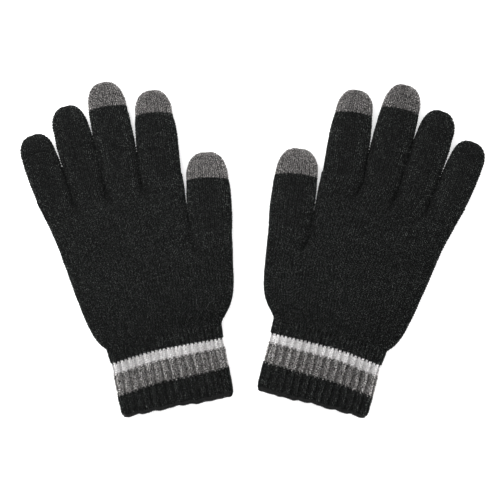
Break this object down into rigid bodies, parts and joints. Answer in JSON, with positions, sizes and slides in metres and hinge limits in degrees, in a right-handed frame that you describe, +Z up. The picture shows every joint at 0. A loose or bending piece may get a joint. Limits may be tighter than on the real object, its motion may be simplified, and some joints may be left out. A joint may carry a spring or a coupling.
{
  "type": "pair of knitted touchscreen gloves",
  "caption": "Pair of knitted winter gloves with ribbed striped cuffs and conductive grey fingertips for touchscreens, laid flat side by side with palms up.",
  "frame": {"origin": "centre of the pair's outline on the surface that it lies on", "axes": "+X across the pair towards the right-hand place, +Y towards the fingertips, +Z up out of the surface"},
  "size_m": [0.313, 0.2268, 0.0124],
  "materials": {
    "black_acrylic_knit": "fine plain knit in matt black acrylic yarn",
    "conductive_grey_knit": "plain knit in dark grey mottled yarn with conductive fibres",
    "mid_grey_knit": "ribbed knit in mottled mid-grey acrylic yarn",
    "light_grey_knit": "ribbed knit in light grey acrylic yarn",
    "black_overlock_thread": "dense overlocked edge in textured black thread",
    "covered_elastic_thread": "rubber core thread wound with black yarn"
  },
  "bodies": {
    "left_hand": {"left_palm_five_finger_tube": "black_acrylic_knit", "left_palm_four_finger_tube": "black_acrylic_knit"},
    "left_cuff": {"left_cuff_wrist_rib": "black_acrylic_knit", "left_cuff_light_stripe": "light_grey_knit", "left_cuff_grey_stripe": "mid_grey_knit", "left_cuff_end_band": "black_acrylic_knit", "left_cuff_overlock_edge": "black_overlock_thread", "left_wrist_elastic_1": "covered_elastic_thread", "left_wrist_elastic_2": "covered_elastic_thread", "left_wrist_elastic_3": "covered_elastic_thread"},
    "left_thumb_base": {"left_thumb_tube": "black_acrylic_knit"},
    "left_thumb_end": {"left_thumb_touch_tip": "conductive_grey_knit"},
    "left_little_lower": {"left_little_lower_tube": "black_acrylic_knit"},
    "left_little_upper": {"left_little_upper_tube": "black_acrylic_knit"},
    "left_little_end": {"left_little_plain_tip": "black_acrylic_knit"},
    "left_ring_lower": {"left_ring_lower_tube": "black_acrylic_knit"},
    "left_ring_upper": {"left_ring_upper_tube": "black_acrylic_knit"},
    "left_ring_end": {"left_ring_plain_tip": "black_acrylic_knit"},
    "left_middle_lower": {"left_middle_lower_tube": "black_acrylic_knit"},
    "left_middle_upper": {"left_middle_upper_tube": "black_acrylic_knit"},
    "left_middle_end": {"left_middle_touch_tip": "conductive_grey_knit"},
    "left_index_lower": {"left_index_lower_tube": "black_acrylic_knit"},
    "left_index_upper": {"left_index_upper_tube": "black_acrylic_knit"},
    "left_index_end": {"left_index_touch_tip": "conductive_grey_knit"},
    "right_hand": {"right_palm_five_finger_tube": "black_acrylic_knit", "right_palm_four_finger_tube": "black_acrylic_knit"},
    "right_cuff": {"right_cuff_wrist_rib": "black_acrylic_knit", "right_cuff_light_stripe": "light_grey_knit", "right_cuff_grey_stripe": "mid_grey_knit", "right_cuff_end_band": "black_acrylic_knit", "right_cuff_overlock_edge": "black_overlock_thread", "right_wrist_elastic_1": "covered_elastic_thread", "right_wrist_elastic_2": "covered_elastic_thread", "right_wrist_elastic_3": "covered_elastic_thread"},
    "right_thumb_base": {"right_thumb_tube": "black_acrylic_knit"},
    "right_thumb_end": {"right_thumb_touch_tip": "conductive_grey_knit"},
    "right_little_lower": {"right_little_lower_tube": "black_acrylic_knit"},
    "right_little_upper": {"right_little_upper_tube": "black_acrylic_knit"},
    "right_little_end": {"right_little_plain_tip": "black_acrylic_knit"},
    "right_ring_lower": {"right_ring_lower_tube": "black_acrylic_knit"},
    "right_ring_upper": {"right_ring_upper_tube": "black_acrylic_knit"},
    "right_ring_end": {"right_ring_plain_tip": "black_acrylic_knit"},
    "right_middle_lower": {"right_middle_lower_tube": "black_acrylic_knit"},
    "right_middle_upper": {"right_middle_upper_tube": "black_acrylic_knit"},
    "right_middle_end": {"right_middle_touch_tip": "conductive_grey_knit"},
    "right_index_lower": {"right_index_lower_tube": "black_acrylic_knit"},
    "right_index_upper": {"right_index_upper_tube": "black_acrylic_knit"},
    "right_index_end": {"right_index_touch_tip": "conductive_grey_knit"}
  },
  "joints": [
    {"name": "right_glove_lift", "type": "slide", "parent": "left_hand", "child": "right_hand", "axis": [0, 0, 1], "range_m": [0, 0.15]},
    {"name": "left_wrist", "type": "hinge", "parent": "left_hand", "child": "left_cuff", "pos_m": [-0.06005, -0.05742, 0.0112], "axis": [-0.981, -0.1942, 0], "range_deg": [0, 60]},
    {"name": "left_thumb_base_joint", "type": "hinge", "parent": "left_hand", "child": "left_thumb_base", "pos_m": [-0.0282, 0.01209, 0.012], "axis": [0.981, 0.1942, 0], "range_deg": [0, 50]},
    {"name": "left_thumb_end_joint", "type": "hinge", "parent": "left_thumb_base", "child": "left_thumb_end", "pos_m": [-0.03094, 0.04945, 0.012], "axis": [0.9973, 0.0732, 0], "range_deg": [0, 70]},
    {"name": "left_little_knuckle", "type": "hinge", "parent": "left_hand", "child": "left_little_lower", "pos_m": [-0.13391, 0.03448, 0.0106], "axis": [0.981, 0.1942, 0], "range_deg": [0, 80]},
    {"name": "left_little_middle_joint", "type": "hinge", "parent": "left_little_lower", "child": "left_little_upper", "pos_m": [-0.1405, 0.05238, 0.0106], "axis": [0.9385, 0.3453, 0], "range_deg": [0, 90]},
    {"name": "left_little_end_joint", "type": "hinge", "parent": "left_little_upper", "child": "left_little_end", "pos_m": [-0.14504, 0.06473, 0.0106], "axis": [0.9385, 0.3453, 0], "range_deg": [0, 54]},
    {"name": "left_ring_knuckle", "type": "hinge", "parent": "left_hand", "child": "left_ring_lower", "pos_m": [-0.11096, 0.03903, 0.0106], "axis": [0.981, 0.1942, 0], "range_deg": [0, 80]},
    {"name": "left_ring_middle_joint", "type": "hinge", "parent": "left_ring_lower", "child": "left_ring_upper", "pos_m": [-0.11774, 0.0633, 0.0106], "axis": [0.9632, 0.2689, 0], "range_deg": [0, 90]},
    {"name": "left_ring_end_joint", "type": "hinge", "parent": "left_ring_upper", "child": "left_ring_end", "pos_m": [-0.12274, 0.08121, 0.0106], "axis": [0.9632, 0.2689, 0], "range_deg": [0, 54]},
    {"name": "left_middle_knuckle", "type": "hinge", "parent": "left_hand", "child": "left_middle_lower", "pos_m": [-0.08791, 0.04359, 0.0106], "axis": [0.981, 0.1942, 0], "range_deg": [0, 80]},
    {"name": "left_middle_middle_joint", "type": "hinge", "parent": "left_middle_lower", "child": "left_middle_upper", "pos_m": [-0.09368, 0.07276, 0.0106], "axis": [0.981, 0.1942, 0], "range_deg": [0, 90]},
    {"name": "left_middle_end_joint", "type": "hinge", "parent": "left_middle_upper", "child": "left_middle_end", "pos_m": [-0.09836, 0.09637, 0.0106], "axis": [0.981, 0.1942, 0], "range_deg": [0, 54]},
    {"name": "left_index_knuckle", "type": "hinge", "parent": "left_hand", "child": "left_index_lower", "pos_m": [-0.06216, 0.04869, 0.0106], "axis": [0.981, 0.1942, 0], "range_deg": [0, 80]},
    {"name": "left_index_middle_joint", "type": "hinge", "parent": "left_index_lower", "child": "left_index_upper", "pos_m": [-0.06498, 0.07348, 0.0106], "axis": [0.9936, 0.1132, 0], "range_deg": [0, 90]},
    {"name": "left_index_end_joint", "type": "hinge", "parent": "left_index_upper", "child": "left_index_end", "pos_m": [-0.0671, 0.09207, 0.0106], "axis": [0.9936, 0.1132, 0], "range_deg": [0, 54]},
    {"name": "right_wrist", "type": "hinge", "parent": "right_hand", "child": "right_cuff", "pos_m": [0.05262, -0.05767, 0.0112], "axis": [-0.9673, 0.2538, 0], "range_deg": [0, 60]},
    {"name": "right_thumb_base_joint", "type": "hinge", "parent": "right_hand", "child": "right_thumb_base", "pos_m": [0.02507, 0.01365, 0.012], "axis": [0.9673, -0.2538, 0], "range_deg": [0, 50]},
    {"name": "right_thumb_end_joint", "type": "hinge", "parent": "right_thumb_base", "child": "right_thumb_end", "pos_m": [0.03009, 0.05078, 0.012], "axis": [0.991, -0.134, 0], "range_deg": [0, 70]},
    {"name": "right_little_knuckle", "type": "hinge", "parent": "right_hand", "child": "right_little_lower", "pos_m": [0.13195, 0.02955, 0.0106], "axis": [0.9673, -0.2538, 0], "range_deg": [0, 80]},
    {"name": "right_little_middle_joint", "type": "hinge", "parent": "right_little_lower", "child": "right_little_upper", "pos_m": [0.13962, 0.04701, 0.0106], "axis": [0.9157, -0.4019, 0], "range_deg": [0, 90]},
    {"name": "right_little_end_joint", "type": "hinge", "parent": "right_little_upper", "child": "right_little_end", "pos_m": [0.14491, 0.05907, 0.0106], "axis": [0.9157, -0.4019, 0], "range_deg": [0, 54]},
    {"name": "right_ring_knuckle", "type": "hinge", "parent": "right_hand", "child": "right_ring_lower", "pos_m": [0.10932, 0.03549, 0.0106], "axis": [0.9673, -0.2538, 0], "range_deg": [0, 80]},
    {"name": "right_ring_middle_joint", "type": "hinge", "parent": "right_ring_lower", "child": "right_ring_upper", "pos_m": [0.11757, 0.0593, 0.0106], "axis": [0.9449, -0.3272, 0], "range_deg": [0, 90]},
    {"name": "right_ring_end_joint", "type": "hinge", "parent": "right_ring_upper", "child": "right_ring_end", "pos_m": [0.12365, 0.07688, 0.0106], "axis": [0.9449, -0.3272, 0], "range_deg": [0, 54]},
    {"name": "right_middle_knuckle", "type": "hinge", "parent": "right_hand", "child": "right_middle_lower", "pos_m": [0.08659, 0.04145, 0.0106], "axis": [0.9673, -0.2538, 0], "range_deg": [0, 80]},
    {"name": "right_middle_middle_joint", "type": "hinge", "parent": "right_middle_lower", "child": "right_middle_upper", "pos_m": [0.09414, 0.07021, 0.0106], "axis": [0.9673, -0.2538, 0], "range_deg": [0, 90]},
    {"name": "right_middle_end_joint", "type": "hinge", "parent": "right_middle_upper", "child": "right_middle_end", "pos_m": [0.10025, 0.0935, 0.0106], "axis": [0.9673, -0.2538, 0], "range_deg": [0, 54]},
    {"name": "right_index_knuckle", "type": "hinge", "parent": "right_hand", "child": "right_index_lower", "pos_m": [0.0612, 0.04811, 0.0106], "axis": [0.9673, -0.2538, 0], "range_deg": [0, 80]},
    {"name": "right_index_middle_joint", "type": "hinge", "parent": "right_index_lower", "child": "right_index_upper", "pos_m": [0.06553, 0.07268, 0.0106], "axis": [0.9848, -0.1736, 0], "range_deg": [0, 90]},
    {"name": "right_index_end_joint", "type": "hinge", "parent": "right_index_upper", "child": "right_index_end", "pos_m": [0.06878, 0.09111, 0.0106], "axis": [0.9848, -0.1736, 0], "range_deg": [0, 54]}
  ],
  "couplings": [
    {"joint": "left_little_end_joint", "follows": "left_little_middle_joint", "ratio": 0.6},
    {"joint": "left_ring_end_joint", "follows": "left_ring_middle_joint", "ratio": 0.6},
    {"joint": "left_middle_end_joint", "follows": "left_middle_middle_joint", "ratio": 0.6},
    {"joint": "left_index_end_joint", "follows": "left_index_middle_joint", "ratio": 0.6},
    {"joint": "right_little_end_joint", "follows": "right_little_middle_joint", "ratio": 0.6},
    {"joint": "right_ring_end_joint", "follows": "right_ring_middle_joint", "ratio": 0.6},
    {"joint": "right_middle_end_joint", "follows": "right_middle_middle_joint", "ratio": 0.6},
    {"joint": "right_index_end_joint", "follows": "right_index_middle_joint", "ratio": 0.6}
  ]
}
